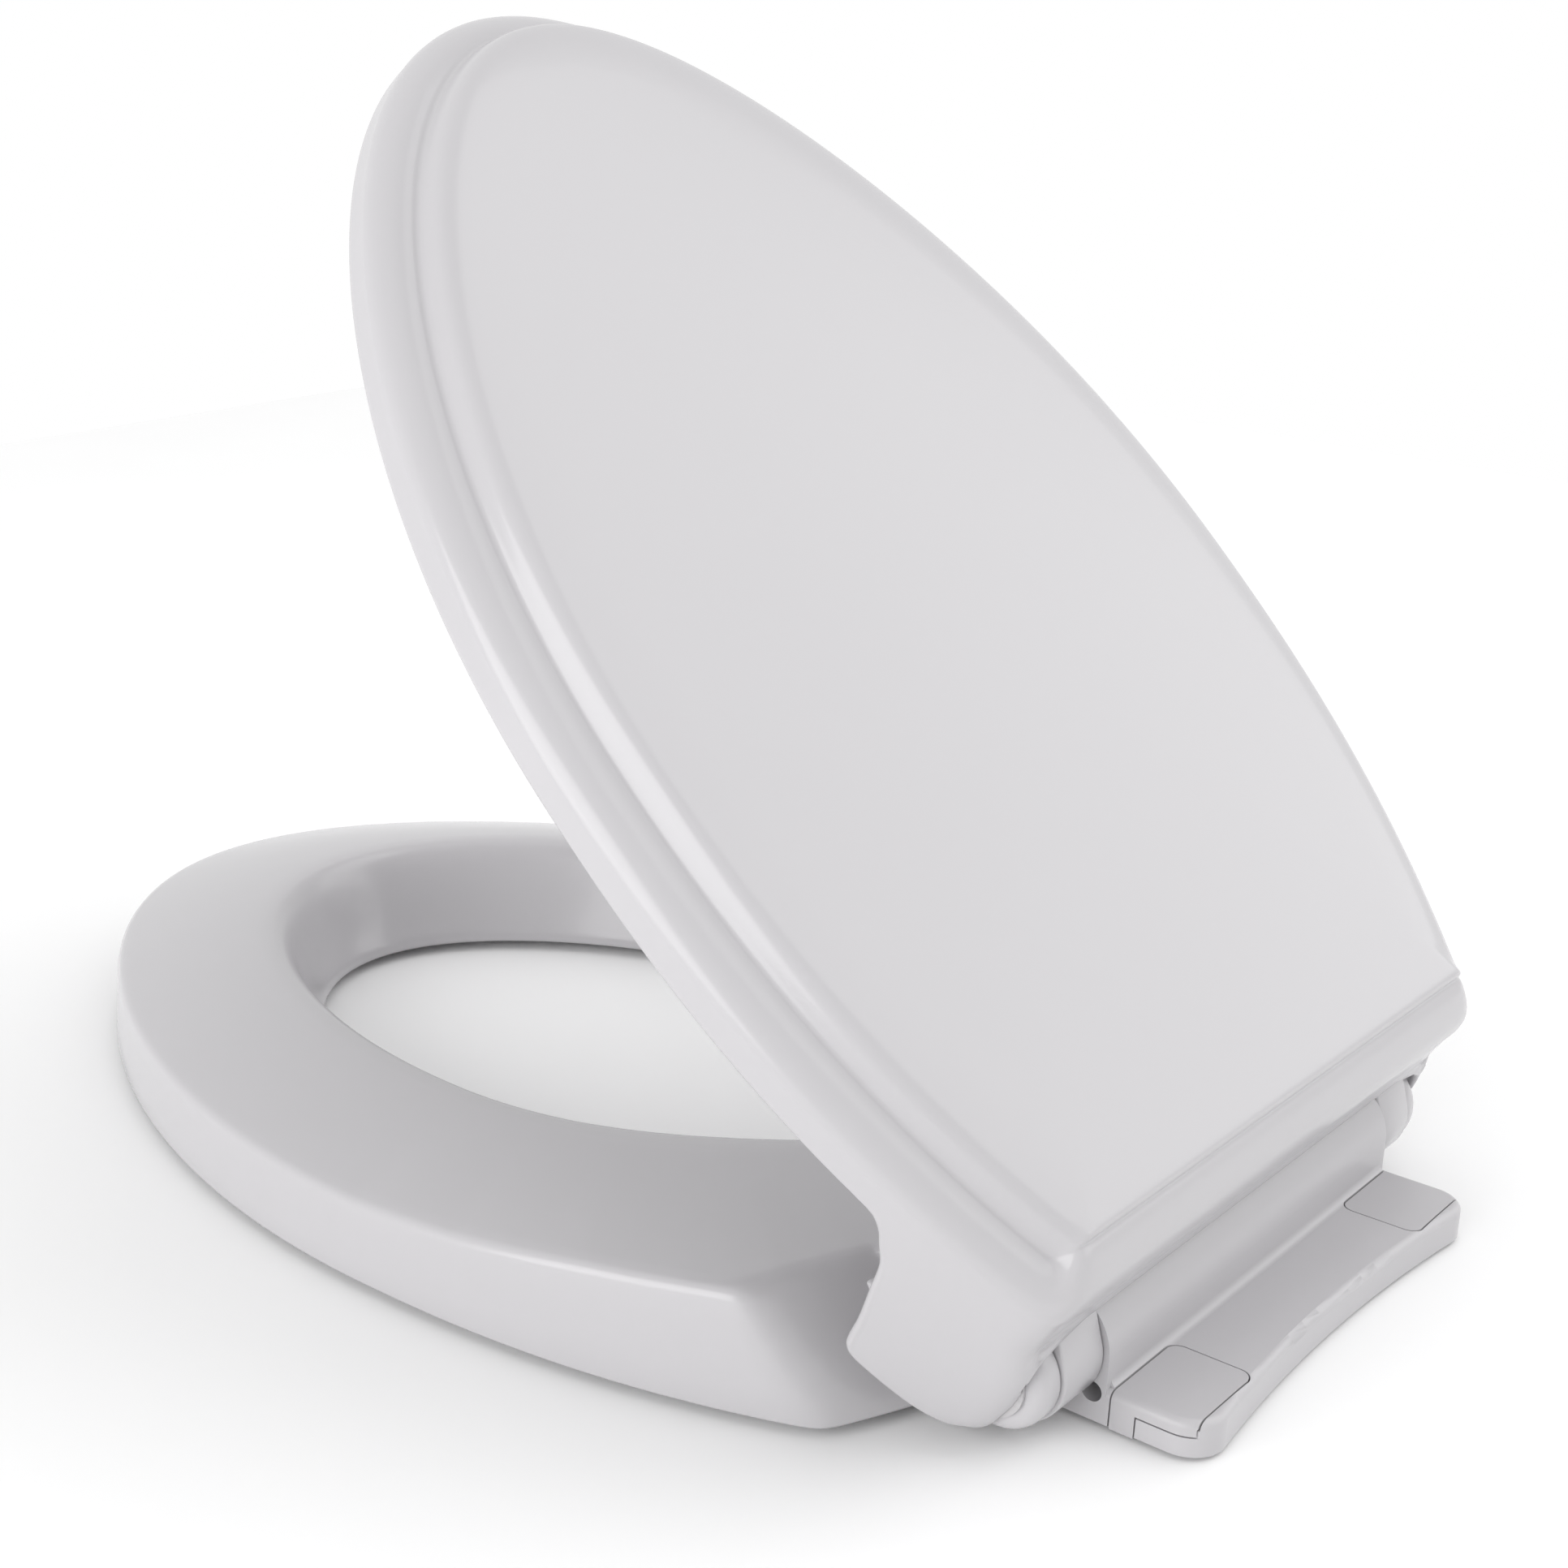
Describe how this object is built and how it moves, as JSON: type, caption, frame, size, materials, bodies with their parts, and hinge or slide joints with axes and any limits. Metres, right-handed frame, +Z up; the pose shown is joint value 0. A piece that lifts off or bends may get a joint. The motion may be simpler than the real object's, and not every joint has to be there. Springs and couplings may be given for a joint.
{
  "type": "toilet seat",
  "caption": "Slow-close toilet seat with a lid on a shared hinge barrel, side wings over the hinge, and a base plate with slide-off bolt covers.",
  "frame": {"origin": "midway between the two bolt slots, on the plane the base stands on", "axes": "+Z up, -Y towards the front of the bowl, X along the hinge axis"},
  "size_m": [0.3534, 0.4974, 0.3592],
  "materials": {
    "white_shell": "glossy moulded plastic",
    "base_plastic": "glossy moulded plastic",
    "cover_plastic": "satin-gloss moulded plastic",
    "plate_plastic": "satin moulded plastic",
    "rubber": "soft light grey rubber",
    "seal_rubber": "black rubber",
    "shaft_steel": "turned steel",
    "bush_plastic": "acetal",
    "damper_plastic": "glass-filled nylon"
  },
  "bodies": {
    "base": {"base_pads": "rubber", "hinge_base": "base_plastic", "lid_damper_cap": "damper_plastic", "lid_damper_housing": "damper_plastic", "lid_damper_seal": "seal_rubber", "seat_damper_cap": "damper_plastic", "seat_damper_housing": "damper_plastic", "seat_damper_seal": "seal_rubber"},
    "seat": {"seat_damper_shaft": "shaft_steel", "seat_drive_bush": "bush_plastic", "seat_foot_front_left": "rubber", "seat_foot_front_right": "rubber", "seat_foot_rear_left": "rubber", "seat_foot_rear_right": "rubber", "seat_idle_bush": "bush_plastic", "seat_lower_plate": "plate_plastic", "seat_upper_shell": "white_shell"},
    "lid": {"lid_bumper_front_left": "rubber", "lid_bumper_front_right": "rubber", "lid_bumper_rear_left": "rubber", "lid_bumper_rear_right": "rubber", "lid_damper_shaft": "shaft_steel", "lid_drive_bush": "bush_plastic", "lid_idle_bush": "bush_plastic", "lid_shell": "white_shell"},
    "cover_right": {"bolt_cover_right": "cover_plastic"},
    "cover_left": {"bolt_cover_left": "cover_plastic"}
  },
  "joints": [
    {"name": "seat_hinge", "type": "hinge", "parent": "base", "child": "seat", "pos_m": [0, -0.032, 0.022], "axis": [-1, 0, 0], "range_deg": [0, 40]},
    {"name": "lid_hinge", "type": "hinge", "parent": "seat", "child": "lid", "pos_m": [0, -0.032, 0.022], "axis": [-1, 0, 0], "range_deg": [-43.8, 22]},
    {"name": "cover_right_slide", "type": "slide", "parent": "base", "child": "cover_right", "axis": [1, 0, 0], "range_m": [0, 0.03]},
    {"name": "cover_left_slide", "type": "slide", "parent": "base", "child": "cover_left", "axis": [-1, 0, 0], "range_m": [0, 0.03]}
  ]
}
